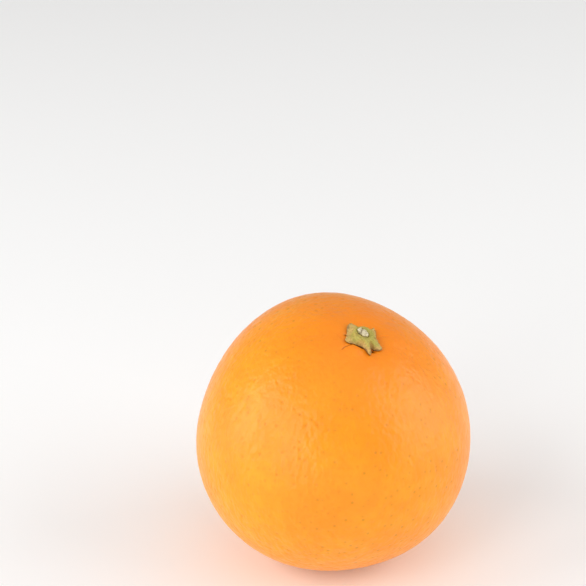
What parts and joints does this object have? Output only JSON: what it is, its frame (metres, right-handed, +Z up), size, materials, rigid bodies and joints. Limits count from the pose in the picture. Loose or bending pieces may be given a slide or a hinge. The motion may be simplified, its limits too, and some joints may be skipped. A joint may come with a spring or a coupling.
{
  "type": "bitter orange",
  "caption": "Whole bitter orange with pebbled rind, a five-lobed calyx and a cut stem stub, resting on a small flat spot.",
  "frame": {"origin": "on the ground, at the middle of the fruit's outline seen from above", "axes": "+Z up, -Y towards the viewer, +X to the viewer's right; the stem axis leans 18.4 degrees from +Z, towards the viewer and to the right"},
  "size_m": [0.0754, 0.0754, 0.0748],
  "materials": {
    "rind": "satin waxy citrus rind with fine oil-gland pits",
    "calyx": "matte olive-green calyx with dry brown edges",
    "cut_stem": "matte pale fibrous cut wood"
  },
  "bodies": {
    "root": {"fruit": "rind", "calyx": "calyx", "stem_stub": "cut_stem"}
  },
  "joints": []
}
